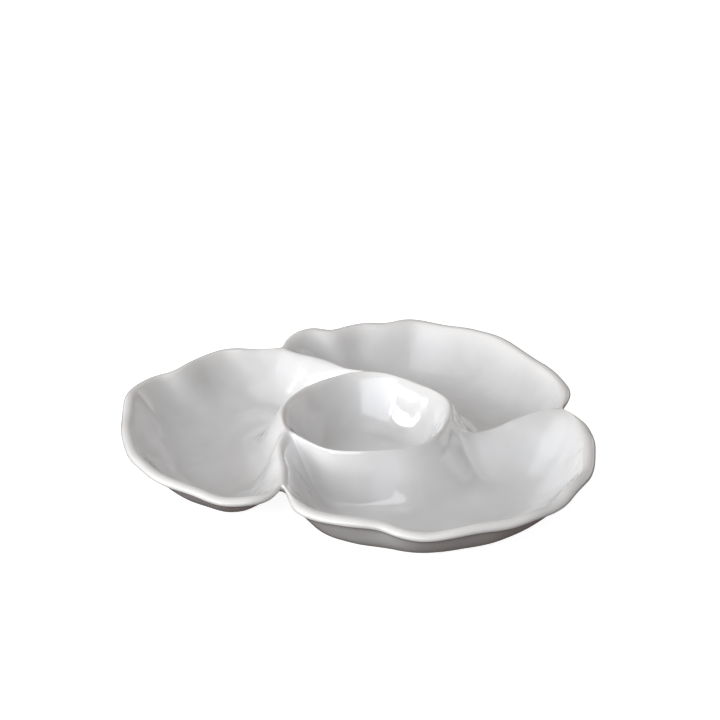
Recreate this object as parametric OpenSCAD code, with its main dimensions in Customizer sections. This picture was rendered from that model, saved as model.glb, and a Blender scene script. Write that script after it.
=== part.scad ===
// Chip and dip server: three wavy petal bowls luted round a central dip cup, glazed stoneware.
// The petals turn like a pinwheel. Each one's rim starts as a ridge on the rim of the cup, runs
// out to a notch, sweeps clockwise round the outside and ends against the next petal's ridge.
// Millimetres, +Z up, resting on the plane z = 0, with the origin at the middle of its footprint.

/* [Size] */
// Scale of the whole server, where 1 is 351 mm wide
size_scale = 1; // [0.9:0.01:1.1]
// Height added to every rim, ridge and cup rim
extra_height = 0; // [-4:0.5:10]

/* [Walls] */
// Thickness of the clay walls
wall = 5.5; // [4:0.5:6]
// Height of every floor above the table
floor_top = 8; // [7:0.5:10]
// Half width of the flat floor of a petal
petal_floor = 12; // [9:1:13]
// Radius of the flat floor of the dip cup
cup_floor = 22; // [15:1:28]
// How dished the outer walls are: 1 is a straight slope, 3 is a flat floor and a steep wall
dish = 2.1; // [1.5:0.1:3]

/* [Lip] */
// Width of the rounded lip along the free rims
lip_width = 8; // [6:0.5:10]
// Height of the outer face of the lip
lip_height = 6.5; // [5:0.5:9]

/* [Feet] */
// Width of the bare foot rings
foot_width = 4.5; // [3:0.5:5]
// Gap between the edge of a flat floor and its foot ring
foot_inset = 1; // [0.5:0.5:2]

/* [Smoothness] */
// Curve steps between two neighbouring rim stations
steps = 2; // [2:1:3]

/* [Hidden] */
$fn = 96;

glaze_white = "#f1f1f2";
bare_clay = "#d9cdb8";

foot_height = floor_top - wall;
inner_rings = 8;
edge_rings = 6;
under_rings = 6;
side_swell = 1.05;
cup_swell = 1.9;
front_swell = 1.25;
by_cup_swell = 1.7;
by_cup_reach = 30;
graze = 65;
thickest = 2.6;
spine_marks = 10;
foot_arc_steps = 24;
foot_end_steps = 12;

// Rim of the dip cup, anticlockwise: angle, radius, height. The three ridges start on it.
CUP_RIM = [
    [350, 60.5, 48.5], [10, 64, 49], [30, 62.5, 49.5], [50, 60, 49], [70, 64, 49.5],
    [88, 66, 50], [104, 65, 49.5], [121, 61, 49], [140, 61, 48.5], [160, 60.5, 49],
    [183, 63, 49.5], [206, 63.5, 48.5], [225, 61.5, 48], [243, 64, 48.5], [262, 62, 49],
    [280, 61, 49], [298, 62.5, 48.5], [316, 62, 48], [334, 60.5, 48]];
FRONT_START = 0;
BACK_START = 5;
LEFT_START = 11;

// Stations along each arm, after its start on the cup: ridge out to the notch, then the rim.
LEFT_RIDGE = [[-61, -37, 47], [-62, -48, 45], [-60, -60, 43.5], [-58, -72, 42.5], [-57, -82, 42]];
LEFT_NOTCH = [-57, -92, 42];
LEFT_RIM = [
    [-61, -101, 41.5], [-69, -107, 41], [-80, -109, 40.5], [-92, -109, 40], [-103, -105, 40.5],
    [-115, -98, 41.5], [-129, -91, 42.5], [-142, -82, 43], [-154, -67, 42.5], [-164, -51, 42],
    [-171, -34, 42.5], [-176, -16, 43], [-178.5, -1, 42], [-180.5, 14, 42.5], [-182.5, 31, 44],
    [-181, 47, 43.5], [-175, 62, 42.5], [-167, 73, 41.5], [-157, 78, 42.5], [-149, 86, 43.5],
    [-142, 98, 43], [-134, 109, 42.5], [-120, 120, 43], [-104, 122, 43.5], [-88, 124, 43]];

BACK_RIDGE = [[-8, 69, 49.2], [-17, 74, 48.6], [-26, 83, 47.8], [-36, 93, 47], [-47, 101, 46],
              [-57, 109, 45], [-65, 117, 44]];
BACK_NOTCH = [-70, 126, 43];
BACK_RIM = [
    [-69, 138, 43.5], [-63, 149, 44], [-55, 157, 44.5], [-46, 161, 44.8], [-37, 161, 43.8],
    [-29, 162, 42.8], [-20, 167, 43], [-8, 173, 43.8], [5, 175, 44.3], [17, 176, 43.5],
    [29, 179, 44.3], [41, 182, 44.3], [55, 179, 43.3], [68, 173, 43], [80, 168, 43.5],
    [91, 164, 43.5], [102, 158, 43], [113, 148, 43.5], [124, 132, 43], [134, 113, 42.5],
    [142, 96, 43], [150, 79, 43], [155, 62, 42.5], [156.5, 44, 43], [153, 27, 43]];

FRONT_RIDGE = [[66, -13, 42], [74, -11, 35.5], [83, -8, 34], [93, -4, 34.5], [104, 1, 36.5],
               [115, 6, 39], [126, 11, 41], [137, 14, 42.5]];
FRONT_NOTCH = [148, 14, 43];
FRONT_RIM = [
    [155, 7, 43], [159, -5, 42.5], [160, -18, 42.5], [160, -33, 43.5], [157.5, -49, 43.5],
    [154, -65, 42.5], [149, -79, 42.5], [142, -91, 43.5], [134, -103, 43.5], [127, -113, 42.5],
    [118, -122, 42.5], [107, -130, 43.5], [96, -136, 43], [85, -140, 42.5], [72, -143, 42.5],
    [61, -146, 42], [51, -148, 41], [40, -149, 39.8], [29, -148, 39.8], [18, -144, 40.5],
    [9, -139, 41.3], [-2, -137, 42], [-13, -135, 42], [-25, -131, 41.5], [-36, -126, 41.5],
    [-45, -118, 42], [-51, -107, 42.3]];

// Floor spines, one arc each: centre, radius, then the angles where it starts and ends.
LEFT_SPINE = [[-41, 6], 77, 218, 120];
BACK_SPINE = [[26, 29], 82, 102, 7];
FRONT_SPINE = [[33, -25], 73, 340, 234];
CUP_SPINE = [[0, 0], 0, 360, 0];

// Section of the lip, outwards and upwards from the crest, for a lip 1 wide and 1 high.
LIP = [[-0.28, -0.02], [0.1, 0], [0.38, -0.16], [0.5, -0.45], [0.42, -0.8], [-0.22, -1]];
LIP_INNER_EDGE = [-0.5, -0.14];

function ramp(x) = let (t = min(1, max(0, x))) t * t * (3 - 2 * t);
function across(p) = [p.x, p.y];
function on_cup(s) = [s[1] * cos(s[0]), s[1] * sin(s[0]), s[2]];
function curve(a, b, c, d, t) =
    b + t / 2 * ((c - a) + t * ((2 * a - 5 * b + 4 * c - d) + t * (3 * b - 3 * c + d - a)));

// Smooth open curve through the points p, from the first to the last.
function open_curve(p) =
    let (n = len(p), q = concat([2 * p[0] - p[1]], p, [2 * p[n - 1] - p[n - 2]]))
    [for (i = [0:n - 2], k = [0:steps - 1]) curve(q[i], q[i + 1], q[i + 2], q[i + 3], k / steps),
     p[n - 1]];

// Smooth curve round the cup from station i to station j, both included, anticlockwise.
function cup_arc(i, j) =
    let (n = len(CUP_RIM), last = j > i ? j : j + n)
    [for (s = [i:last - 1], k = [0:steps - 1])
        curve(cup_at(s - 1), cup_at(s), cup_at(s + 1), cup_at(s + 2), k / steps),
     cup_at(last)];
function cup_at(i) = let (n = len(CUP_RIM)) on_cup(CUP_RIM[(i + n) % n]);

function backwards(p) = [for (i = [len(p) - 1:-1:0]) p[i]];
function all_but_last(p) = [for (i = [0:len(p) - 2]) p[i]];
function part_of(p, a, b) = [for (i = [a:b]) p[i]];

// A petal's crest, clockwise: its own arm, the next arm's ridge inwards, and the cup's rim.
function arm(start, ridge, notch, rim, next_notch) =
    open_curve(concat([cup_at(start)], ridge, [notch], rim, [next_notch]));
left_arm = arm(LEFT_START, LEFT_RIDGE, LEFT_NOTCH, LEFT_RIM, BACK_NOTCH);
back_arm = arm(BACK_START, BACK_RIDGE, BACK_NOTCH, BACK_RIM, FRONT_NOTCH);
front_arm = arm(FRONT_START, FRONT_RIDGE, FRONT_NOTCH, FRONT_RIM, LEFT_NOTCH);

function crest_of(own_arm, next_arm, next_ridge, next_start, start) =
    let (ridge_in = backwards(part_of(next_arm, 0, steps * (len(next_ridge) + 1))),
         round_cup = cup_arc(next_start, start))
    concat(all_but_last(own_arm), all_but_last(ridge_in), all_but_last(round_cup));

// How much of a free lip each crest point has: none on a ridge or on the cup.
function lip_share(own_arm, ridge, crest) =
    let (notch = steps * (len(ridge) + 1), last = len(own_arm) - 1)
    [for (i = [0:len(crest) - 1])
        i > last ? 0 : ramp((i - notch) / (3 * steps)) * ramp((last - i) / (2.5 * steps))];

left_crest = crest_of(left_arm, back_arm, BACK_RIDGE, BACK_START, LEFT_START);
back_crest = crest_of(back_arm, front_arm, FRONT_RIDGE, FRONT_START, BACK_START);
front_crest = crest_of(front_arm, left_arm, LEFT_RIDGE, LEFT_START, FRONT_START);
cup_crest = backwards(all_but_last(cup_arc(0, len(CUP_RIM))));

left_lip = lip_share(left_arm, LEFT_RIDGE, left_crest);
back_lip = lip_share(back_arm, BACK_RIDGE, back_crest);
front_lip = lip_share(front_arm, FRONT_RIDGE, front_crest);
cup_lip = [for (p = cup_crest) 0];

// Plan of the crest at point i, averaged over the stations beside it. The floor's edge follows it.
function eased(crest, i) =
    let (n = len(crest), near = [for (k = [-2 * steps:2 * steps]) across(crest[(i + k + n) % n])])
    [for (p = near) 1] * near / len(near);

// Where a floor spine is nearest to the plan point q: its angle, and the point there.
function spine_turn(spine, q) =
    let (from = q - spine[0], turn = atan2(from.y, from.x), middle = (spine[2] + spine[3]) / 2)
    min(spine[2], max(spine[3], turn < middle - 180 ? turn + 360 : turn));
function spine_at(spine, angle) = spine[0] + spine[1] * [cos(angle), sin(angle)];

// Outward direction at crest point i, square to the crest.
function outward(crest, i) =
    let (n = len(crest), d = across(crest[(i + 1) % n]) - across(crest[(i + n - 1) % n]))
    [-d.y, d.x] / norm(d);

// Rise of the wall from the floor (0) to the crest (1): an S under a ridge, a dish at a free rim.
function rise(t, lip, swell) =
    (1 - lip) * (1 - cos(180 * pow(t, swell))) / 2 + lip * pow(t, dish);
function steepness(t, swell) = PI / 2 * swell * pow(t, swell - 1) * sin(180 * pow(t, swell));

// The points on one spoke, from the edge of the floor over the crest and back under the wall.
function spoke(crest, i, lip, spine, floor_edge, own_swell, clear) =
    let (p = crest[i] + [0, 0, extra_height],
         out = outward(crest, i),
         q = eased(crest, i),
         root = spine_at(spine, spine_turn(spine, q)),
         toe = root + (q - root) * floor_edge / norm(q - root),
         inner = edge_point(p, out, lip * LIP_INNER_EDGE, 0),
         edge = [for (k = [1:edge_rings])
                    edge_point(p, out, lip * LIP[k - 1], (1 - lip) * wall * k / edge_rings)],
         last = edge[edge_rings - 1],
         by_cup = 1 - ramp((norm(across(p)) - 66) / by_cup_reach),
         swell = own_swell + (max(own_swell, by_cup_swell) - own_swell) * by_cup,
         run = norm(across(p) - root) - floor_edge)
    concat(
        [for (k = [0:inner_rings - 1])
            let (t = k / inner_rings, flat = path(toe, across(inner), t, clear))
            [flat.x, flat.y, floor_top + (inner.z - floor_top) * rise(t, lip, swell)]],
        [inner],
        edge,
        [for (k = [under_rings - 1:-1:0])
            let (t = k / under_rings, flat = path(toe, across(last), t, clear),
                 slope = (p.z - floor_top) / run * steepness(t, swell),
                 thicker = wall * (min(thickest, sqrt(1 + slope * slope)) - 1) * (1 - lip),
                 z = foot_height + (last.z - foot_height) * rise(t, lip, swell) - thicker)
            [flat.x, flat.y, max(foot_height, z)]]);
// Plan path from the floor to the crest, bent outwards where it would graze the cup.
function path(a, b, t, clear) =
    let (middle = (a + b) / 2, bend = max(0, clear - norm(middle)))
    a + (b - a) * t + (bend == 0 ? [0, 0] : middle / norm(middle) * bend * 4 * t * (1 - t));
function edge_point(p, out, offset, drop) =
    [p.x + out.x * offset[0] * lip_width, p.y + out.y * offset[0] * lip_width,
     p.z + offset[1] * lip_height - drop];

// A bowl: the points of its spokes, then marks along its spine on the floor and underneath, and
// the mark that each spoke's floor edge is tied to.
function bowl(crest, lips, spine, floor_edge, swell, clear) =
    let (marks = spine[1] > 0 ? spine_marks : 0,
         arc = [for (k = [0:marks])
                   spine_at(spine, spine[3] + (spine[2] - spine[3]) * k / max(1, marks))],
         ties = [for (i = [0:len(crest) - 1])
                    round(marks * (spine_turn(spine, eased(crest, i)) - spine[3])
                          / (spine[2] - spine[3]))])
    [concat([for (i = [0:len(crest) - 1])
                each spoke(crest, i, lips[i], spine, floor_edge, swell, clear)],
            [for (p = arc) [p.x, p.y, floor_top]],
            [for (p = arc) [p.x, p.y, foot_height]]),
     ties];

left_bowl = bowl(left_crest, left_lip, LEFT_SPINE, petal_floor, side_swell, graze);
back_bowl = bowl(back_crest, back_lip, BACK_SPINE, petal_floor, side_swell, graze);
front_bowl = bowl(front_crest, front_lip, FRONT_SPINE, petal_floor, front_swell, graze);
cup_bowl = bowl(cup_crest, cup_lip, CUP_SPINE, cup_floor, cup_swell, 0);

// Middle of the footprint, which becomes the origin.
outline = concat(left_bowl[0], back_bowl[0], front_bowl[0]);
middle_x = (min([for (p = outline) p.x]) + max([for (p = outline) p.x])) / 2;
middle_y = (min([for (p = outline) p.y]) + max([for (p = outline) p.y])) / 2;

// Triangles of a floor between its edge, row by row of the spokes, and the marks on its spine.
function floor_faces(ties, rows, row, first_mark) =
    [for (i = [0:len(ties) - 1])
        let (next = (i + 1) % len(ties), p = i * rows + row, q = next * rows + row,
             a = ties[i], b = ties[next], way = sign(b - a), half = floor(abs(b - a) / 2))
        each concat(
            [[p, q, first_mark + a + way * half]],
            [for (k = [0:1:abs(b - a) - 1])
                [k < half ? p : q, first_mark + a + way * (k + 1), first_mark + a + way * k]])];

// A closed shell from a bowl's points: sides, floor and underside.
module shell(bowl) {
    rows = inner_rings + 1 + edge_rings + under_rings;
    ties = bowl[1];
    n = len(ties);
    marks = (len(bowl[0]) - n * rows) / 2;
    sides = [for (i = [0:n - 1], k = [0:rows - 2])
        let (a = i * rows + k, b = ((i + 1) % n) * rows + k)
        each [[a, a + 1, b + 1], [a, b + 1, b]]];
    under = [for (f = floor_faces(ties, rows, rows - 1, n * rows + marks)) [f[1], f[0], f[2]]];
    polyhedron(bowl[0], concat(sides, floor_faces(ties, rows, 0, n * rows), under),
               convexity = 8);
}

module centred() {
    scale(size_scale) translate([-middle_x, -middle_y, 0]) children();
}

// Outline of a bent slot along a floor spine, half of its width each side, with round ends.
function arc_points(centre, radius, from, to, count) =
    [for (k = [0:count - 1])
        let (a = from + (to - from) * k / count) centre + radius * [cos(a), sin(a)]];
function slot_outline(spine, half) =
    let (first = spine[3], last = spine[2], middle = spine[0], radius = spine[1],
         end_of = function (a) middle + radius * [cos(a), sin(a)])
    concat(arc_points(middle, radius + half, first, last, foot_arc_steps),
           arc_points(end_of(last), half, last, last + 180, foot_end_steps),
           arc_points(middle, radius - half, last, first, foot_arc_steps),
           arc_points(end_of(first), half, first + 180, first + 360, foot_end_steps));

// A foot ring that follows a floor spine.
module petal_foot(spine) {
    outer = petal_floor - foot_inset;
    centred() linear_extrude(foot_height) difference() {
        polygon(slot_outline(spine, outer));
        polygon(slot_outline(spine, outer - foot_width));
    }
}

module left_petal_bowl() { color(glaze_white) centred() shell(left_bowl); }
module back_petal_bowl() { color(glaze_white) centred() shell(back_bowl); }
module front_petal_bowl() { color(glaze_white) centred() shell(front_bowl); }
module dip_cup() { color(glaze_white) centred() shell(cup_bowl); }
module left_foot_ring() { color(bare_clay) petal_foot(LEFT_SPINE); }
module back_foot_ring() { color(bare_clay) petal_foot(BACK_SPINE); }
module front_foot_ring() { color(bare_clay) petal_foot(FRONT_SPINE); }
module cup_foot_ring() {
    outer = cup_floor - foot_inset;
    color(bare_clay) centred() difference() {
        cylinder(h = foot_height, r = outer);
        translate([0, 0, -1]) cylinder(h = foot_height + 2, r = outer - foot_width);
    }
}

left_petal_bowl();
back_petal_bowl();
front_petal_bowl();
dip_cup();
left_foot_ring();
back_foot_ring();
front_foot_ring();
cup_foot_ring();
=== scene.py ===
"""Looks of a glazed chip and dip server: three wavy petal bowls luted round a dip cup.

The clay is built as one skin, so that the glaze runs unbroken over the luted joins, and is then
parted into the four bowls that the maker throws. Foot rings are swept under the bowls' floors.
Sizes are in millimetres from the middle of the dip cup, and become metres in the frame.
"""

import logging
import math
from dataclasses import dataclass, field
from enum import Enum

import bpy
import numpy as np
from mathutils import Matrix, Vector


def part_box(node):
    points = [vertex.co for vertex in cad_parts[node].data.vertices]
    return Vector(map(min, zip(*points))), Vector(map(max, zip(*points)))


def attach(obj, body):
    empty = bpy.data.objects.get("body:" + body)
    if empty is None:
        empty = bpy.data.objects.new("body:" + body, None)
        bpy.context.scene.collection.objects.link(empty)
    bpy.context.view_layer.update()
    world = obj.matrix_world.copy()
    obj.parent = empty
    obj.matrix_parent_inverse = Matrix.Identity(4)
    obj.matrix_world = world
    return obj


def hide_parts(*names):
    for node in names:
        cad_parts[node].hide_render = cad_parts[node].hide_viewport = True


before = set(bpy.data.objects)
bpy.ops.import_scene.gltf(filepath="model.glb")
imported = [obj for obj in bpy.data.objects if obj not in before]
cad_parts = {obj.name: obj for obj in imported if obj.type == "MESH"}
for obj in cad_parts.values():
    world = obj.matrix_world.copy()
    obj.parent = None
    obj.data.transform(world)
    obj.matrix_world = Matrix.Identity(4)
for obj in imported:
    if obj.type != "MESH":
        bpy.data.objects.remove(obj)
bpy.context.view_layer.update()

MM = 0.001
LOG = logging.getLogger("server")
Station = tuple[float, float, float]


class Slot(Enum):
    """Material slots of the server's record."""

    GLAZE = "white_glaze"
    CLAY = "bare_clay"


class Bowl(Enum):
    """The four bowls, in the order in which the skin numbers them."""

    LEFT = "left_petal_bowl"
    BACK = "back_petal_bowl"
    FRONT = "front_petal_bowl"
    CUP = "dip_cup"


# ---------------------------------------------------------------- curves and small helpers

def smooth_ramp(x: np.ndarray) -> np.ndarray:
    """Eases from 0 to 1 as x goes from 0 to 1."""
    t = np.clip(x, 0.0, 1.0)
    return t * t * (3.0 - 2.0 * t)


def smooth_curve(points: np.ndarray, per_span: int, closed: bool = False) -> np.ndarray:
    """Runs a curvature-continuous cubic spline through points.

    Args:
        points: Stations, one row each.
        per_span: Samples from one station to the next.
        closed: Whether the last station joins the first.

    Returns:
        The samples; an open curve ends on its last station.
    """
    n = len(points)
    matrix = np.zeros((n, n))
    right = np.zeros_like(points, dtype=float)
    for i in range(n):
        if closed or 0 < i < n - 1:
            before, after = (i - 1) % n, (i + 1) % n
            matrix[i, before], matrix[i, i], matrix[i, after] = 1.0, 4.0, 1.0
            right[i] = 6.0 * (points[before] - 2.0 * points[i] + points[after])
        else:
            matrix[i, i] = 1.0
    bend = np.linalg.solve(matrix, right)
    spans = n if closed else n - 1
    samples = []
    for i in range(spans):
        j = (i + 1) % n
        for k in range(per_span):
            t = k / per_span
            s = 1.0 - t
            samples.append(s * points[i] + t * points[j]
                           + ((s ** 3 - s) * bend[i] + (t ** 3 - t) * bend[j]) / 6.0)
    if not closed:
        samples.append(points[-1].astype(float))
    return np.array(samples)


def set_input(modifier: bpy.types.NodesModifier, name: str, value: object) -> None:
    """Sets a Geometry Nodes input by the identifier of the socket with that name.

    Args:
        modifier: The modifier whose tree has the input.
        name: Name of the input socket.
        value: Value to give it.
    """
    for item in modifier.node_group.interface.items_tree:
        if item.item_type == "SOCKET" and item.in_out == "INPUT" and item.name == name:
            modifier[item.identifier] = value
            return
    raise KeyError(name)


def new_tree(name: str, inputs: dict[str, str]) -> tuple[bpy.types.NodeTree, bpy.types.Node,
                                                        bpy.types.Node]:
    """Starts a Geometry Nodes tree with a geometry in and out and named inputs.

    Args:
        name: Name of the tree.
        inputs: Socket type of each named input.

    Returns:
        The tree, its group input node and its group output node.
    """
    tree = bpy.data.node_groups.new(name, "GeometryNodeTree")
    tree.interface.new_socket("Geometry", in_out="INPUT", socket_type="NodeSocketGeometry")
    for label, kind in inputs.items():
        tree.interface.new_socket(label, in_out="INPUT", socket_type=kind)
    tree.interface.new_socket("Geometry", in_out="OUTPUT", socket_type="NodeSocketGeometry")
    return tree, tree.nodes.new("NodeGroupInput"), tree.nodes.new("NodeGroupOutput")


def math_node(tree: bpy.types.NodeTree, operation: str, a: object, b: object) -> object:
    """Adds a Math node.

    Args:
        tree: Tree that gets the node.
        operation: Name of the operation, such as MULTIPLY.
        a: First value or socket.
        b: Second value or socket.

    Returns:
        The node's output socket.
    """
    node = tree.nodes.new("ShaderNodeMath")
    node.operation = operation
    for socket, value in zip(node.inputs, (a, b)):
        if isinstance(value, (int, float)):
            socket.default_value = value
        else:
            tree.links.new(value, socket)
    return node.outputs[0]


def baked_mesh(source: bpy.types.Object, name: str) -> bpy.types.Mesh:
    """Turns an object with modifiers into a plain mesh and removes the object.

    Args:
        source: Object to evaluate.
        name: Name of the new mesh.

    Returns:
        The evaluated mesh.
    """
    bpy.context.view_layer.update()
    evaluated = source.evaluated_get(bpy.context.evaluated_depsgraph_get())
    mesh = bpy.data.meshes.new_from_object(evaluated)
    mesh.name = name
    source.modifiers.clear()
    bpy.data.objects.remove(source)
    return mesh


# ---------------------------------------------------------------- finishes

@dataclass(frozen=True)
class Glaze:
    """Thick glossy white glaze, a little warmer where it runs thin over lips and ridges."""

    pooled: tuple[float, float, float] = (0.760, 0.752, 0.745)
    body: tuple[float, float, float] = (0.845, 0.847, 0.850)
    thin: tuple[float, float, float] = (0.850, 0.838, 0.820)
    cloud_size: float = 0.055
    peel_size: float = 0.0035
    peel_depth: float = 0.000012
    sag_size: float = 0.016
    sag_depth: float = 0.00010
    roughness: float = 0.16
    coat_roughness: float = 0.025

    def material(self) -> bpy.types.Material:
        """Builds the glaze's material.

        Returns:
            The material.
        """
        material = bpy.data.materials.new("white glaze")
        material.use_nodes = True
        tree = material.node_tree
        shader = tree.nodes["Principled BSDF"]
        shader.inputs["Roughness"].default_value = self.roughness
        shader.inputs["IOR"].default_value = 1.52
        shader.inputs["Coat Weight"].default_value = 1.0
        shader.inputs["Coat Roughness"].default_value = self.coat_roughness
        shader.inputs["Coat IOR"].default_value = 1.5
        place = tree.nodes.new("ShaderNodeTexCoord").outputs["Object"]
        tree.links.new(self._colour(tree, place), shader.inputs["Base Color"])
        tree.links.new(self._surface(tree, place), shader.inputs["Normal"])
        return material

    def _colour(self, tree: bpy.types.NodeTree, place: object) -> object:
        """Clouds the white from pooled to body, and warms it where the glaze is thin.

        Args:
            tree: The material's tree.
            place: Object coordinates.

        Returns:
            The colour socket.
        """
        cloud = tree.nodes.new("ShaderNodeTexNoise")
        cloud.inputs["Scale"].default_value = 1.0 / self.cloud_size
        cloud.inputs["Detail"].default_value = 3.0
        tree.links.new(place, cloud.inputs["Vector"])
        clouds = tree.nodes.new("ShaderNodeValToRGB")
        clouds.color_ramp.elements[0].position = 0.35
        clouds.color_ramp.elements[0].color = (*self.pooled, 1.0)
        clouds.color_ramp.elements[1].position = 0.62
        clouds.color_ramp.elements[1].color = (*self.body, 1.0)
        tree.links.new(cloud.outputs["Fac"], clouds.inputs["Fac"])
        thin = tree.nodes.new("ShaderNodeAttribute")
        thin.attribute_name = "thin_glaze"
        mix = tree.nodes.new("ShaderNodeMix")
        mix.data_type = "RGBA"
        mix.inputs["B"].default_value = (*self.thin, 1.0)
        tree.links.new(thin.outputs["Fac"], mix.inputs["Factor"])
        tree.links.new(clouds.outputs["Color"], mix.inputs["A"])
        return mix.outputs["Result"]

    def _surface(self, tree: bpy.types.NodeTree, place: object) -> object:
        """Adds the glaze's slow sags and its fine orange peel.

        Args:
            tree: The material's tree.
            place: Object coordinates.

        Returns:
            The normal socket.
        """
        normal = None
        for size, depth in ((self.sag_size, self.sag_depth), (self.peel_size, self.peel_depth)):
            noise = tree.nodes.new("ShaderNodeTexNoise")
            noise.inputs["Scale"].default_value = 1.0 / size
            noise.inputs["Detail"].default_value = 1.0
            bump = tree.nodes.new("ShaderNodeBump")
            bump.inputs["Strength"].default_value = 1.0
            bump.inputs["Distance"].default_value = depth
            tree.links.new(place, noise.inputs["Vector"])
            tree.links.new(noise.outputs["Fac"], bump.inputs["Height"])
            if normal is not None:
                tree.links.new(normal, bump.inputs["Normal"])
            normal = bump.outputs["Normal"]
        return normal


@dataclass(frozen=True)
class BareClay:
    """Unglazed stoneware of the foot rings, sandy and matt."""

    light: tuple[float, float, float] = (0.62, 0.54, 0.43)
    dark: tuple[float, float, float] = (0.45, 0.37, 0.28)
    grain_size: float = 0.0009
    grain_depth: float = 0.00012
    roughness: float = 0.88

    def material(self) -> bpy.types.Material:
        """Builds the clay's material.

        Returns:
            The material.
        """
        material = bpy.data.materials.new("bare clay")
        material.use_nodes = True
        tree = material.node_tree
        shader = tree.nodes["Principled BSDF"]
        shader.inputs["Roughness"].default_value = self.roughness
        place = tree.nodes.new("ShaderNodeTexCoord").outputs["Object"]
        grain = tree.nodes.new("ShaderNodeTexNoise")
        grain.inputs["Scale"].default_value = 1.0 / self.grain_size
        grain.inputs["Detail"].default_value = 4.0
        tree.links.new(place, grain.inputs["Vector"])
        tones = tree.nodes.new("ShaderNodeValToRGB")
        tones.color_ramp.elements[0].position = 0.38
        tones.color_ramp.elements[0].color = (*self.dark, 1.0)
        tones.color_ramp.elements[1].position = 0.6
        tones.color_ramp.elements[1].color = (*self.light, 1.0)
        bump = tree.nodes.new("ShaderNodeBump")
        bump.inputs["Distance"].default_value = self.grain_depth
        tree.links.new(grain.outputs["Fac"], tones.inputs["Fac"])
        tree.links.new(grain.outputs["Fac"], bump.inputs["Height"])
        tree.links.new(tones.outputs["Color"], shader.inputs["Base Color"])
        tree.links.new(bump.outputs["Normal"], shader.inputs["Normal"])
        return material


# ---------------------------------------------------------------- the crest network

@dataclass(frozen=True)
class Arm:
    """One petal's crest: a ridge from the cup's rim to a notch, then the free rim."""

    start: int
    ridge: tuple[Station, ...]
    notch: Station
    rim: tuple[Station, ...]


@dataclass(frozen=True)
class FloorSpine:
    """The arc along the middle of a bowl's flat floor."""

    middle: tuple[float, float]
    radius: float
    first: float
    last: float

    def nearest(self, plan: np.ndarray) -> np.ndarray:
        """Finds the spine's nearest point to each plan point.

        Args:
            plan: Plan points, one row each.

        Returns:
            The points on the arc, one row each.
        """
        away = plan - np.array(self.middle)
        turn = np.degrees(np.arctan2(away[:, 1], away[:, 0]))
        turn = np.where(turn < (self.first + self.last) / 2 - 180.0, turn + 360.0, turn)
        held = np.radians(np.clip(turn, self.last, self.first))
        return np.array(self.middle) + self.radius * np.column_stack((np.cos(held), np.sin(held)))

    def loop(self, half_width: float, steps: int) -> np.ndarray:
        """Draws the round-ended loop at half_width from the spine.

        Args:
            half_width: Distance of the loop from the spine.
            steps: Points on each long side.

        Returns:
            The closed loop's plan points, anticlockwise.
        """
        middle = np.array(self.middle)
        first, last = math.radians(self.first), math.radians(self.last)

        def arc(centre: np.ndarray, radius: float, start: float, end: float,
                count: int) -> np.ndarray:
            """Points from start towards end, without the end."""
            turn = start + (end - start) * np.arange(count) / count
            return centre + radius * np.column_stack((np.cos(turn), np.sin(turn)))

        if self.radius == 0.0:
            return arc(middle, half_width, 0.0, 2.0 * math.pi, 2 * steps)
        ends = [middle + self.radius * np.array((math.cos(a), math.sin(a))) for a in (first, last)]
        return np.vstack((
            arc(middle, self.radius + half_width, last, first, steps),
            arc(ends[0], half_width, first, first + math.pi, steps // 4),
            arc(middle, self.radius - half_width, first, last, steps),
            arc(ends[1], half_width, last + math.pi, last + 2.0 * math.pi, steps // 4)))


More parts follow.
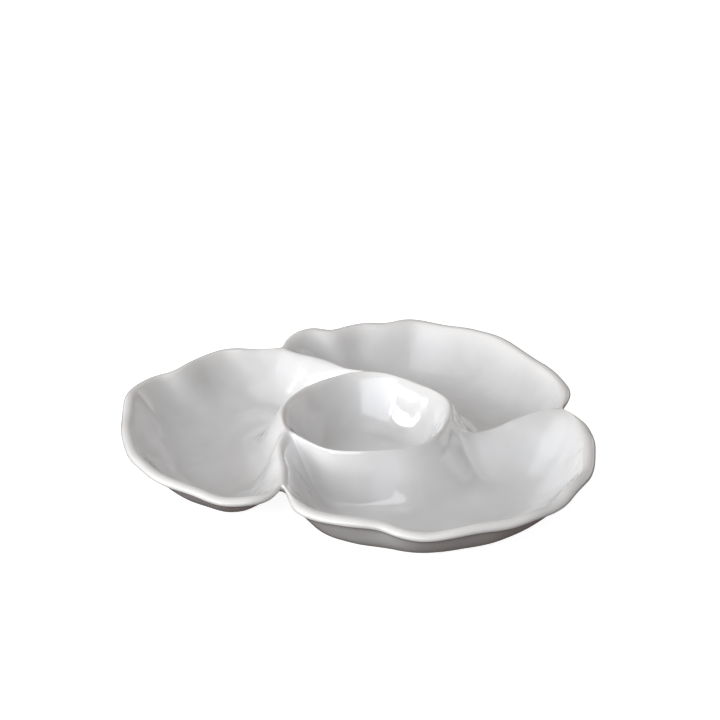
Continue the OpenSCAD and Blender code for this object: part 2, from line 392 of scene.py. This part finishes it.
@dataclass(frozen=True)
class CrestNetwork:
    """All the rims and ridges, as stations that smooth curves run through."""

    per_span: int = 8
    cup_rim: tuple[Station, ...] = (
        (350, 60.5, 48.5), (10, 64, 49), (30, 62.5, 49.5), (50, 60, 49), (70, 64, 49.5),
        (88, 66, 50), (104, 65, 49.5), (121, 61, 49), (140, 61, 48.5), (160, 60.5, 49),
        (183, 63, 49.5), (206, 63.5, 48.5), (225, 61.5, 48), (243, 64, 48.5), (262, 62, 49),
        (280, 61, 49), (298, 62.5, 48.5), (316, 62, 48), (334, 60.5, 48))
    left: Arm = Arm(
        start=11,
        ridge=((-61, -37, 47), (-62, -48, 45), (-60, -60, 43.5), (-58, -72, 42.5),
               (-57, -82, 42)),
        notch=(-57, -92, 42),
        rim=((-61, -101, 41.5), (-69, -107, 41), (-80, -109, 40.5), (-92, -109, 40),
             (-103, -105, 40.5), (-115, -98, 41.5), (-129, -91, 42.5), (-142, -82, 43),
             (-154, -67, 42.5), (-164, -51, 42), (-171, -34, 42.5), (-176, -16, 43),
             (-178.5, -1, 42), (-180.5, 14, 42.5), (-182.5, 31, 44), (-181, 47, 43.5),
             (-175, 62, 42.5), (-167, 73, 41.5), (-157, 78, 42.5), (-149, 86, 43.5),
             (-142, 98, 43), (-134, 109, 42.5), (-120, 120, 43), (-104, 122, 43.5),
             (-88, 124, 43)))
    back: Arm = Arm(
        start=5,
        ridge=((-8, 69, 49.2), (-17, 74, 48.6), (-26, 83, 47.8), (-36, 93, 47),
               (-47, 101, 46), (-57, 109, 45), (-65, 117, 44)),
        notch=(-70, 126, 43),
        rim=((-69, 138, 43.5), (-63, 149, 44), (-55, 157, 44.5), (-46, 161, 44.8),
             (-37, 161, 43.8), (-29, 162, 42.8), (-20, 167, 43), (-8, 173, 43.8),
             (5, 175, 44.3), (17, 176, 43.5), (29, 179, 44.3), (41, 182, 44.3),
             (55, 179, 43.3), (68, 173, 43), (80, 168, 43.5), (91, 164, 43.5),
             (102, 158, 43), (113, 148, 43.5), (124, 132, 43), (134, 113, 42.5),
             (142, 96, 43), (150, 79, 43), (155, 62, 42.5), (156.5, 44, 43), (153, 27, 43)))
    front: Arm = Arm(
        start=0,
        ridge=((66, -13, 42), (74, -11, 35.5), (83, -8, 34), (93, -4, 34.5),
               (104, 1, 36.5), (115, 6, 39), (126, 11, 41), (137, 14, 42.5)),
        notch=(148, 14, 43),
        rim=((155, 7, 43), (159, -5, 42.5), (160, -18, 42.5), (160, -33, 43.5),
             (157.5, -49, 43.5), (154, -65, 42.5), (149, -79, 42.5), (142, -91, 43.5),
             (134, -103, 43.5), (127, -113, 42.5), (118, -122, 42.5), (107, -130, 43.5),
             (96, -136, 43), (85, -140, 42.5), (72, -143, 42.5), (61, -146, 42),
             (51, -148, 41), (40, -149, 39.8), (29, -148, 39.8), (18, -144, 40.5),
             (9, -139, 41.3), (-2, -137, 42), (-13, -135, 42), (-25, -131, 41.5),
             (-36, -126, 41.5), (-45, -118, 42), (-51, -107, 42.3)))

    def next_arm(self, arm: Arm) -> Arm:
        """Gives the arm whose ridge the given arm's rim ends against."""
        return {self.left: self.back, self.back: self.front, self.front: self.left}[arm]

    def cup_curve(self) -> np.ndarray:
        """Samples the cup's rim, anticlockwise from its first station.

        Returns:
            The places along the rim.
        """
        stations = np.array(self.cup_rim, dtype=float)
        turn = np.radians(stations[:, 0])
        places = np.column_stack((stations[:, 1] * np.cos(turn), stations[:, 1] * np.sin(turn),
                                  stations[:, 2]))
        return smooth_curve(places, self.per_span, closed=True)

    def arm_curve(self, arm: Arm) -> np.ndarray:
        """Samples an arm from the cup to the next arm's notch.

        Args:
            arm: The arm to sample.

        Returns:
            The places along the arm.
        """
        start = self.cup_curve()[arm.start * self.per_span]
        ends = (arm.notch, *arm.rim, self.next_arm(arm).notch)
        return smooth_curve(np.array([start, *arm.ridge, *ends], dtype=float), self.per_span)

    def petal_crest(self, arm: Arm) -> tuple[np.ndarray, np.ndarray]:
        """Closes a petal's crest: its arm, the next ridge inwards, and the cup's rim.

        Args:
            arm: The petal's own arm.

        Returns:
            The crest's samples, clockwise, and how much of a free lip each one has.
        """
        own, following = self.arm_curve(arm), self.next_arm(arm)
        ridge_in = self.arm_curve(following)[self.per_span * (len(following.ridge) + 1):0:-1]
        cup = self.cup_curve()
        first, last = following.start * self.per_span, arm.start * self.per_span
        if last < first:
            last += len(cup)
        round_cup = cup[np.arange(first, last) % len(cup)]
        crest = np.vstack((own[:-1], ridge_in, round_cup))
        notch, end = self.per_span * (len(arm.ridge) + 1), len(own) - 1
        i = np.arange(len(crest))
        lip = smooth_ramp((i - notch) / (3.0 * self.per_span)) \
            * smooth_ramp((end - i) / (2.5 * self.per_span))
        return crest, np.where(i > end, 0.0, lip)


# ---------------------------------------------------------------- the clay skin

@dataclass
class Skin:
    """A mesh in the making: places, faces, and what each one is."""

    places: list[np.ndarray] = field(default_factory=list)
    hold: list[np.ndarray] = field(default_factory=list)
    relief: list[np.ndarray] = field(default_factory=list)
    thin: list[np.ndarray] = field(default_factory=list)
    faces: list[list[int]] = field(default_factory=list)
    bowls: list[int] = field(default_factory=list)
    joins: list[bool] = field(default_factory=list)
    columns: list[np.ndarray] = field(default_factory=list)
    count: int = 0


@dataclass
class FiredBody:
    """The four bowls as one continuous glazed skin."""

    crests: CrestNetwork
    glaze: bpy.types.Material
    wall: float = 5.5
    floor_top: float = 8.0
    foot_height: float = 2.5
    petal_floor: float = 12.0
    cup_floor: float = 22.0
    dish: float = 2.1
    lip_width: float = 8.0
    lip_height: float = 6.5
    side_swell: float = 1.05
    front_swell: float = 1.25
    cup_swell: float = 1.9
    by_cup_swell: float = 1.7
    by_cup_reach: float = 30.0
    graze: float = 65.0
    thickest: float = 2.6
    floor_rings: int = 5
    inner_rings: int = 24
    edge_rings: int = 12
    under_rings: int = 14
    smoothing: int = 24
    lip_section: tuple[tuple[float, float], ...] = (
        (-0.5, -0.14), (-0.28, -0.02), (0.1, 0.0), (0.38, -0.16), (0.5, -0.45),
        (0.42, -0.8), (-0.22, -1.0))
    spines: dict[Bowl, FloorSpine] = field(default_factory=lambda: {
        Bowl.LEFT: FloorSpine((-41.0, 6.0), 77.0, 218.0, 120.0),
        Bowl.BACK: FloorSpine((26.0, 29.0), 82.0, 102.0, 7.0),
        Bowl.FRONT: FloorSpine((33.0, -25.0), 73.0, 340.0, 234.0),
        Bowl.CUP: FloorSpine((0.0, 0.0), 0.0, 360.0, 0.0)})

    def _rise(self, t: float, lip: np.ndarray, swell: np.ndarray) -> np.ndarray:
        """Height of the wall at t of its way out: an S under a ridge, a dish at a free rim."""
        return (1.0 - lip) * (1.0 - np.cos(math.pi * t ** swell)) / 2.0 + lip * t ** self.dish

    def _path(self, a: np.ndarray, b: np.ndarray, t: float, clear: float) -> np.ndarray:
        """Plans a spoke at t, bent outwards where it would graze the cup.

        Args:
            a: Where the spokes leave the floor.
            b: Where they reach the edge.
            t: How far out along the spoke, from 0 to 1.
            clear: Distance to keep from the middle of the cup.

        Returns:
            The plan places at t.
        """
        middle = (a + b) / 2.0
        reach = np.maximum(np.linalg.norm(middle, axis=1), 1e-6)[:, None]
        bend = np.maximum(0.0, clear - reach)
        return a + (b - a) * t + middle / reach * bend * 4.0 * t * (1.0 - t)

    def _rings(self, bowl: Bowl, crest: np.ndarray, lip: np.ndarray) -> list[np.ndarray]:
        """Lays out a bowl's rings from the floor, over the crest and back underneath.

        Args:
            bowl: Which bowl.
            crest: Its crest samples, clockwise.
            lip: How much of a free lip each sample has.

        Returns:
            The rings, each with one row for each crest sample.
        """
        spine = self.spines[bowl]
        cup = bowl is Bowl.CUP
        floor_edge = self.cup_floor if cup else self.petal_floor
        clear = 0.0 if cup else self.graze
        plan = crest[:, :2]
        own = {Bowl.CUP: self.cup_swell, Bowl.FRONT: self.front_swell}.get(bowl, self.side_swell)
        by_cup = 1.0 - smooth_ramp((np.linalg.norm(plan, axis=1) - 66.0) / self.by_cup_reach)
        swell = own + (max(own, self.by_cup_swell) - own) * by_cup
        along = np.roll(plan, -1, axis=0) - np.roll(plan, 1, axis=0)
        out = np.column_stack((-along[:, 1], along[:, 0]))
        out /= np.linalg.norm(out, axis=1)[:, None]
        beside = range(-2 * self.crests.per_span, 2 * self.crests.per_span + 1)
        eased = sum(np.roll(plan, k, axis=0) for k in beside) / len(beside)
        root = spine.nearest(eased)
        toe = root + (eased - root) * (floor_edge / np.linalg.norm(eased - root, axis=1))[:, None]
        reach = np.linalg.norm(plan - root, axis=1)
        share = lip[:, None]
        section = smooth_curve(np.array(self.lip_section), self.edge_rings // 6)

        def edge(k: int) -> np.ndarray:
            """Places one ring of the edge.

            Args:
                k: Number of the ring, from the lip's inner edge to its underside.

            Returns:
                The places of the ring.
            """
            aside, up = section[k]
            drop = (1.0 - lip) * self.wall * k / self.edge_rings
            z = crest[:, 2] + lip * up * self.lip_height - drop
            return np.column_stack((plan + share * out * aside * self.lip_width, z))

        inner, last = edge(0), edge(self.edge_rings)
        rings = []
        for k in range(self.floor_rings):
            s = 0.12 + 0.88 * k / self.floor_rings
            flat = root + (toe - root) * s
            rings.append(np.column_stack((flat, np.full(len(flat), self.floor_top))))
        for k in range(self.inner_rings):
            t = 1.0 - (1.0 - k / self.inner_rings) ** 1.35
            flat = self._path(toe, inner[:, :2], t, clear)
            z = self.floor_top + (inner[:, 2] - self.floor_top) * self._rise(t, lip, swell)
            rings.append(np.column_stack((flat, z)))
        rings.extend(edge(k) for k in range(self.edge_rings + 1))
        for k in range(self.under_rings - 1, -1, -1):
            t = k / self.under_rings
            steep = math.pi / 2.0 * swell * t ** (swell - 1.0) * np.sin(math.pi * t ** swell)
            slope = (crest[:, 2] - self.floor_top) / (reach - floor_edge) * steep
            thicker = np.minimum(self.thickest, np.sqrt(1.0 + slope * slope)) - 1.0
            z = self.foot_height + (last[:, 2] - self.foot_height) * self._rise(t, lip, swell) \
                - self.wall * thicker * (1.0 - lip)
            flat = self._path(toe, last[:, :2], t, clear)
            rings.append(np.column_stack((flat, np.maximum(self.foot_height, z))))
        for k in range(self.floor_rings - 1, -1, -1):
            s = 0.12 + 0.88 * k / self.floor_rings
            flat = root + (toe - root) * s
            rings.append(np.column_stack((flat, np.full(len(flat), self.foot_height))))
        return rings

    def _add_bowl(self, skin: Skin, bowl: Bowl, crest: np.ndarray, lip: np.ndarray) -> None:
        """Adds one bowl's shell to the skin.

        Args:
            skin: The skin that grows.
            bowl: Which bowl.
            crest: Its crest samples, clockwise.
            lip: How much of a free lip each sample has.
        """
        rings = self._rings(bowl, crest, lip)
        n, base = len(crest), skin.count
        top = self.floor_rings + self.inner_rings
        bottom = top + self.edge_rings
        under_floor = bottom + self.under_rings
        number = list(Bowl).index(bowl)
        for k, ring in enumerate(rings):
            on_edge = top <= k <= bottom
            below = k > bottom
            skin.places.append(ring)
            skin.hold.append(lip * 0.75 if on_edge else np.full(n, 1.0 if k >= under_floor else 0.0))
            depth = 0.35 if below else 1.0
            skin.relief.append(np.where(lip > 0.0, 0.3, 0.55) if on_edge
                               else np.full(n, 0.0 if k >= under_floor else depth))
            near = math.exp(-((k - top) / 4.0) ** 2) if k < top else 1.0
            skin.thin.append(np.full(n, 0.0 if below else near))
        seam = lip == 0.0
        for k in range(len(rings) - 1):
            for i in range(n):
                j = (i + 1) % n
                row, up = base + k * n, base + (k + 1) * n
                skin.faces.append([row + i, row + j, up + j, up + i])
                skin.bowls.append(number)
                skin.joins.append(bool(top <= k < bottom and seam[i] and seam[j]))
        for row, step in ((base, -1), (base + (len(rings) - 1) * n, 1)):
            skin.faces.append(list(range(row, row + n))[::step])
            skin.bowls.append(number)
            skin.joins.append(False)
        for i in np.flatnonzero(seam & (np.roll(seam, 1) & np.roll(seam, -1))):
            skin.columns.append(base + np.arange(top, bottom + 1) * n + i)
        skin.count += n * len(rings)

    def skin(self) -> Skin:
        """Builds the whole skin, with the places that two bowls share made one.

        Returns:
            The welded skin.
        """
        raw = Skin()
        for bowl, arm in ((Bowl.LEFT, self.crests.left), (Bowl.BACK, self.crests.back),
                          (Bowl.FRONT, self.crests.front)):
            self._add_bowl(raw, bowl, *self.crests.petal_crest(arm))
        cup = self.crests.cup_curve()[::-1]
        self._add_bowl(raw, Bowl.CUP, cup, np.zeros(len(cup)))
        places = np.vstack(raw.places)
        _, first, welded = np.unique(np.round(places, 4), axis=0, return_index=True,
                                     return_inverse=True)
        welded = welded.reshape(-1)

        def lowest(values: list[np.ndarray]) -> list[np.ndarray]:
            """Takes the smallest value of the places that became one.

            Args:
                values: The values of each ring.

            Returns:
                One list entry with a value for each welded place.
            """
            merged = np.full(len(first), np.inf)
            np.minimum.at(merged, welded, np.concatenate(values))
            return [merged]

        faces = [[int(welded[v]) for v in face] for face in raw.faces]
        return Skin([places[first]], lowest(raw.hold), lowest(raw.relief), lowest(raw.thin), faces,
                    raw.bowls, raw.joins, [welded[c] for c in raw.columns], len(first))

    def _soften(self, skin: Skin) -> np.ndarray:
        """Relaxes the skin as fingers and a sponge do, and keeps flat floors and lips.

        Args:
            skin: The welded skin.

        Returns:
            The relaxed places.
        """
        pairs = set()
        for face, join in zip(skin.faces, skin.joins):
            if not join:
                pairs.update((min(a, b), max(a, b)) for a, b in zip(face, face[1:] + face[:1]))
        a, b = np.array(sorted(pairs)).T
        degree = np.bincount(np.concatenate((a, b)), minlength=skin.count)
        places = skin.places[0].copy()
        weight = (0.5 * (1.0 - np.clip(skin.hold[0], 0.0, 1.0)) * (degree > 0))[:, None]
        for _ in range(self.smoothing):
            total = np.column_stack([
                np.bincount(a, places[b, c], skin.count) + np.bincount(b, places[a, c], skin.count)
                for c in range(3)])
            places += weight * (total / np.maximum(degree, 1)[:, None] - places)
        return places

    def build(self, centre: np.ndarray) -> dict[Bowl, bpy.types.Object]:
        """Makes the skin, presses the hand-worked relief into it and parts it into bowls.

        Args:
            centre: Middle of the dip cup in the frame, in metres.

        Returns:
            One object for each bowl.
        """
        skin = self.skin()
        places = self._soften(skin) * MM + centre
        mesh = bpy.data.meshes.new("clay skin")
        shown = [face for face, join in zip(skin.faces, skin.joins) if not join]
        mesh.from_pydata(places.tolist(), [], shown)
        for name, values in (("relief", skin.relief[0]), ("thin_glaze", skin.thin[0])):
            layer = mesh.attributes.new(name, "FLOAT", "POINT")
            layer.data.foreach_set("value", values.astype(np.float32))
        worked = bpy.data.objects.new("clay skin", mesh)
        bpy.context.scene.collection.objects.link(worked)
        modifier = worked.modifiers.new("relief", "NODES")
        modifier.node_group = hand_worked_relief()
        set_input(modifier, "Dimple Depth", 3.2 * MM)
        set_input(modifier, "Dimple Size", 34.0 * MM)
        set_input(modifier, "Ripple Depth", 0.95 * MM)
        set_input(modifier, "Ripple Size", 13.0 * MM)
        set_input(modifier, "Seed", 4.0)
        set_input(modifier, "Glaze", self.glaze)
        evaluated = baked_mesh(worked, "clay skin worked")
        vertices = np.empty(len(evaluated.vertices) * 3)
        evaluated.vertices.foreach_get("co", vertices)
        vertices = vertices.reshape(-1, 3)
        normals = np.empty(len(evaluated.vertices) * 3)
        evaluated.vertex_normals.foreach_get("vector", normals)
        normals = normals.reshape(-1, 3)
        self._straighten_joins(skin, vertices)
        bpy.data.meshes.remove(evaluated)
        return {bowl: self._part(skin, bowl, vertices, normals) for bowl in Bowl}

    def _straighten_joins(self, skin: Skin, vertices: np.ndarray) -> None:
        """Sets the hidden points of each luted join evenly between its crest and its foot.

        Args:
            skin: The welded skin.
            vertices: Final places, which are changed in place.
        """
        for column in skin.columns:
            t = np.linspace(0.0, 1.0, len(column))[:, None]
            vertices[column] = vertices[column[0]] * (1.0 - t) + vertices[column[-1]] * t

    def _part(self, skin: Skin, bowl: Bowl, vertices: np.ndarray,
              normals: np.ndarray) -> bpy.types.Object:
        """Cuts one bowl out of the skin, closed along its luted joins.

        Args:
            skin: The welded skin.
            bowl: Which bowl to cut out.
            vertices: Final places.
            normals: Normals of the whole skin, which the bowls share along their joins.

        Returns:
            The bowl's object.
        """
        number = list(Bowl).index(bowl)
        faces = [(face, join) for face, of, join in zip(skin.faces, skin.bowls, skin.joins)
                 if of == number]
        used = np.unique(np.concatenate([face for face, _ in faces]))
        new_index = np.full(len(vertices), -1)
        new_index[used] = np.arange(len(used))
        mesh = bpy.data.meshes.new(bowl.value + "_glazed")
        mesh.from_pydata(vertices[used].tolist(), [],
                         [new_index[face].tolist() for face, _ in faces])
        mesh.materials.append(self.glaze)
        layer = mesh.attributes.new("thin_glaze", "FLOAT", "POINT")
        layer.data.foreach_set("value", skin.thin[0][used].astype(np.float32))
        mesh.polygons.foreach_set("use_smooth", np.ones(len(faces), dtype=bool))
        corner_normals: list[tuple[float, float, float]] = []
        for (face, join), polygon in zip(faces, mesh.polygons):
            flat = tuple(polygon.normal)
            corner_normals.extend(flat if join else tuple(normals[v]) for v in face)
        mesh.normals_split_custom_set(corner_normals)
        piece = bpy.data.objects.new(bowl.value + "_glazed", mesh)
        bpy.context.scene.collection.objects.link(piece)
        return piece


def hand_worked_relief() -> bpy.types.NodeTree:
    """Makes the tree that presses soft dimples and finer ripples into the clay.

    Returns:
        The tree.
    """
    tree, source, sink = new_tree("hand worked relief", {
        "Dimple Depth": "NodeSocketFloat", "Dimple Size": "NodeSocketFloat",
        "Ripple Depth": "NodeSocketFloat", "Ripple Size": "NodeSocketFloat",
        "Seed": "NodeSocketFloat", "Glaze": "NodeSocketMaterial"})
    place = tree.nodes.new("GeometryNodeInputPosition").outputs[0]
    total = None
    for label in ("Dimple", "Ripple"):
        noise = tree.nodes.new("ShaderNodeTexNoise")
        noise.noise_dimensions = "4D"
        noise.inputs["Detail"].default_value = 0.5
        tree.links.new(place, noise.inputs["Vector"])
        tree.links.new(source.outputs["Seed"], noise.inputs["W"])
        tree.links.new(math_node(tree, "DIVIDE", 1.0, source.outputs[label + " Size"]),
                       noise.inputs["Scale"])
        centred = math_node(tree, "SUBTRACT", noise.outputs[0], 0.5)
        pressed = math_node(tree, "MULTIPLY", centred, source.outputs[label + " Depth"])
        total = pressed if total is None else math_node(tree, "ADD", total, pressed)
    mask = tree.nodes.new("GeometryNodeInputNamedAttribute")
    mask.data_type = "FLOAT"
    mask.inputs["Name"].default_value = "relief"
    depth = math_node(tree, "MULTIPLY", total, mask.outputs[0])
    push = tree.nodes.new("ShaderNodeVectorMath")
    push.operation = "SCALE"
    tree.links.new(tree.nodes.new("GeometryNodeInputNormal").outputs[0], push.inputs[0])
    tree.links.new(depth, push.inputs["Scale"])
    move = tree.nodes.new("GeometryNodeSetPosition")
    tree.links.new(source.outputs["Geometry"], move.inputs["Geometry"])
    tree.links.new(push.outputs[0], move.inputs["Offset"])
    real = tree.nodes.new("GeometryNodeRealizeInstances")
    dress = tree.nodes.new("GeometryNodeSetMaterial")
    tree.links.new(move.outputs[0], real.inputs[0])
    tree.links.new(real.outputs[0], dress.inputs["Geometry"])
    tree.links.new(source.outputs["Glaze"], dress.inputs["Material"])
    tree.links.new(dress.outputs[0], sink.inputs[0])
    return tree


# ---------------------------------------------------------------- foot rings

@dataclass
class FootRings:
    """Bare clay rings under the floors, swept along loops with softened edges."""

    clay: bpy.types.Material
    body: FiredBody
    width: float = 4.5
    inset: float = 1.0
    rounding: float = 0.7
    steps: int = 64

    def tree(self) -> bpy.types.NodeTree:
        """Makes the tree that sweeps a softened rectangle along a loop.

        Returns:
            The tree.
        """
        tree, source, sink = new_tree("foot ring", {
            "Width": "NodeSocketFloat", "Height": "NodeSocketFloat",
            "Rounding": "NodeSocketFloat", "Clay": "NodeSocketMaterial"})
        path = tree.nodes.new("GeometryNodeMeshToCurve")
        upright = tree.nodes.new("GeometryNodeSetCurveNormal")
        upright.mode = "Z_UP"
        section = tree.nodes.new("GeometryNodeCurvePrimitiveQuadrilateral")
        soften = tree.nodes.new("GeometryNodeFilletCurve")
        soften.mode = "POLY"
        soften.inputs["Count"].default_value = 3
        sweep = tree.nodes.new("GeometryNodeCurveToMesh")
        real = tree.nodes.new("GeometryNodeRealizeInstances")
        dress = tree.nodes.new("GeometryNodeSetMaterial")
        tree.links.new(source.outputs["Geometry"], path.inputs["Mesh"])
        tree.links.new(path.outputs[0], upright.inputs["Curve"])
        tree.links.new(source.outputs["Width"], section.inputs["Width"])
        tree.links.new(source.outputs["Height"], section.inputs["Height"])
        tree.links.new(section.outputs[0], soften.inputs["Curve"])
        tree.links.new(source.outputs["Rounding"], soften.inputs["Radius"])
        tree.links.new(upright.outputs[0], sweep.inputs["Curve"])
        tree.links.new(soften.outputs[0], sweep.inputs["Profile Curve"])
        tree.links.new(sweep.outputs[0], real.inputs[0])
        tree.links.new(real.outputs[0], dress.inputs["Geometry"])
        tree.links.new(source.outputs["Clay"], dress.inputs["Material"])
        tree.links.new(dress.outputs[0], sink.inputs[0])
        return tree

    def build(self, centre: np.ndarray) -> dict[str, bpy.types.Object]:
        """Sweeps one ring under each bowl.

        Args:
            centre: Middle of the dip cup in the frame, in metres.

        Returns:
            One object for each CAD node that it stands for.
        """
        tree = self.tree()
        rings = {}
        for bowl, spine in self.body.spines.items():
            floor = self.body.cup_floor if bowl is Bowl.CUP else self.body.petal_floor
            node = "cup_foot_ring" if bowl is Bowl.CUP \
                else bowl.value.replace("petal_bowl", "foot_ring")
            loop = spine.loop(floor - self.inset - self.width / 2.0, self.steps)
            height = self.body.foot_height
            places = np.column_stack((loop, np.full(len(loop), height / 2.0))) * MM + centre
            mesh = bpy.data.meshes.new(node)
            mesh.from_pydata(places.tolist(),
                             [(i, (i + 1) % len(loop)) for i in range(len(loop))], [])
            path = bpy.data.objects.new(node, mesh)
            bpy.context.scene.collection.objects.link(path)
            modifier = path.modifiers.new("sweep", "NODES")
            modifier.node_group = tree
            set_input(modifier, "Width", self.width * MM)
            set_input(modifier, "Height", height * MM)
            set_input(modifier, "Rounding", self.rounding * MM)
            set_input(modifier, "Clay", self.clay)
            piece_mesh = baked_mesh(path, node + "_clay")
            piece_mesh.polygons.foreach_set("use_smooth",
                                            np.ones(len(piece_mesh.polygons), dtype=bool))
            piece = bpy.data.objects.new(node + "_clay", piece_mesh)
            bpy.context.scene.collection.objects.link(piece)
            rings[node] = piece
        return rings


# ---------------------------------------------------------------- studio

@dataclass(frozen=True)
class Softbox:
    """A rectangular light: where it hangs, its size, strength and tint."""

    name: str
    place: tuple[float, float, float]
    size: tuple[float, float]
    watts: float
    tint: tuple[float, float, float] = (1.0, 1.0, 1.0)


@dataclass
class Studio:
    """Pale floor, soft lights and the camera. Places are from the middle of the cup."""

    centre: np.ndarray
    elevation: float = 25.0
    distance: float = 0.9095
    look_at: tuple[float, float, float] = (-0.0047, 0.0972, 0.044)
    lens: float = 55.25
    floor_size: float = 40.0
    softboxes: tuple[Softbox, ...] = (
        Softbox("window upper left", (-1.50, -0.56, 0.62), (0.24, 0.28), 2.3),
        Softbox("window upper right", (-1.60, -0.22, 0.62), (0.24, 0.28), 2.3),
        Softbox("window lower left", (-1.50, -0.56, 0.24), (0.24, 0.28), 2.1),
        Softbox("window lower right", (-1.60, -0.22, 0.24), (0.24, 0.28), 2.1),
        Softbox("far window", (-1.05, -1.28, 0.20), (0.24, 0.32), 2.4),
        Softbox("bright side of room", (-1.5, -2.2, 1.35), (4.2, 2.2), 58.0, (0.92, 0.955, 1.0)),
        Softbox("pale wall", (1.30, 0.98, 0.42), (1.2, 0.5), 1.1, (1.0, 0.97, 0.94)),
        Softbox("overhead", (-0.7, -0.2, 2.2), (2.0, 1.6), 5.5, (0.96, 0.98, 1.0)))

    def camera(self) -> None:
        """Sets the camera at its elevation, looking along +Y."""
        data = bpy.data.cameras.new("camera")
        data.lens = self.lens
        data.sensor_width = 36.0
        data.clip_end = 100.0
        tilt = math.radians(self.elevation)
        back = np.array((0.0, -math.cos(tilt), math.sin(tilt))) * self.distance
        camera = bpy.data.objects.new("camera", data)
        camera.location = (self.centre + np.array(self.look_at) + back).tolist()
        camera.rotation_euler = (math.pi / 2.0 - tilt, 0.0, 0.0)
        bpy.context.scene.collection.objects.link(camera)
        bpy.context.scene.camera = camera

    def lights(self) -> None:
        """Hangs the softboxes, each turned to the server."""
        for box in self.softboxes:
            data = bpy.data.lights.new(box.name, "AREA")
            data.shape = "RECTANGLE"
            data.size, data.size_y = box.size
            data.energy = box.watts
            data.color = box.tint
            lamp = bpy.data.objects.new(box.name, data)
            place = self.centre + np.array(box.place)
            lamp.location = place.tolist()
            away = Vector((place - self.centre).tolist())
            lamp.rotation_euler = away.to_track_quat("Z", "Y").to_euler()
            bpy.context.scene.collection.objects.link(lamp)

    def world(self) -> None:
        """Fills the room with soft light from above, and dark warm light from below."""
        world = bpy.data.worlds.new("room")
        world.use_nodes = True
        tree = world.node_tree
        where = tree.nodes.new("ShaderNodeTexCoord")
        split = tree.nodes.new("ShaderNodeSeparateXYZ")
        ramp = tree.nodes.new("ShaderNodeValToRGB")
        ramp.color_ramp.elements[0].position = 0.46
        ramp.color_ramp.elements[0].color = (0.085, 0.068, 0.062, 1.0)
        ramp.color_ramp.elements[1].position = 0.56
        ramp.color_ramp.elements[1].color = (0.355, 0.342, 0.335, 1.0)
        half = math_node(tree, "MULTIPLY_ADD", 0.5, 0.5)
        tree.links.new(where.outputs["Generated"], split.inputs[0])
        tree.links.new(split.outputs["Z"], half.node.inputs[0])
        half.node.inputs[2].default_value = 0.5
        tree.links.new(half, ramp.inputs["Fac"])
        side = math_node(tree, "MULTIPLY_ADD", split.outputs["X"], -0.3)
        side.node.inputs[2].default_value = 1.0
        tree.links.new(ramp.outputs["Color"], tree.nodes["Background"].inputs["Color"])
        tree.links.new(side, tree.nodes["Background"].inputs["Strength"])
        bpy.context.scene.world = world

    def floor(self) -> None:
        """Lays the pale floor."""
        half = self.floor_size / 2.0
        mesh = bpy.data.meshes.new("floor")
        mesh.from_pydata([(-half, -half, 0.0), (half, -half, 0.0), (half, half, 0.0),
                          (-half, half, 0.0)], [], [(0, 1, 2, 3)])
        material = bpy.data.materials.new("pale floor")
        material.use_nodes = True
        shader = material.node_tree.nodes["Principled BSDF"]
        shader.inputs["Base Color"].default_value = (0.5, 0.5, 0.5, 1.0)
        shader.inputs["Roughness"].default_value = 0.9
        shader.inputs["Specular IOR Level"].default_value = 0.1
        shader.inputs["Emission Color"].default_value = (1.0, 1.0, 1.0, 1.0)
        shader.inputs["Emission Strength"].default_value = 0.88
        mesh.materials.append(material)
        floor = bpy.data.objects.new("floor", mesh)
        floor.visible_diffuse = False
        floor.visible_glossy = False
        bpy.context.scene.collection.objects.link(floor)

    def build(self) -> None:
        """Sets up the floor, the lights, the room and the camera."""
        self.floor()
        self.lights()
        self.world()
        self.camera()
        bpy.context.scene.view_settings.view_transform = "Standard"


def main() -> None:
    """Builds every piece in order and reports it."""
    logging.basicConfig(level=logging.INFO, format="%(name)s: %(message)s")
    low, high = (np.array(corner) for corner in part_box("cup_foot_ring"))
    centre = np.array([*((low + high) / 2.0)[:2], 0.0])
    body = FiredBody(CrestNetwork(), Glaze().material())
    for bowl, piece in body.build(centre).items():
        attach(piece, "root")
        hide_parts(bowl.value)
        LOG.info("%s: %d faces", piece.name, len(piece.data.polygons))
    for node, piece in FootRings(BareClay().material(), body).build(centre).items():
        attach(piece, "root")
        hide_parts(node)
        LOG.info("%s: %d faces", piece.name, len(piece.data.polygons))
    Studio(centre).build()


if __name__ == "__main__":
    main()
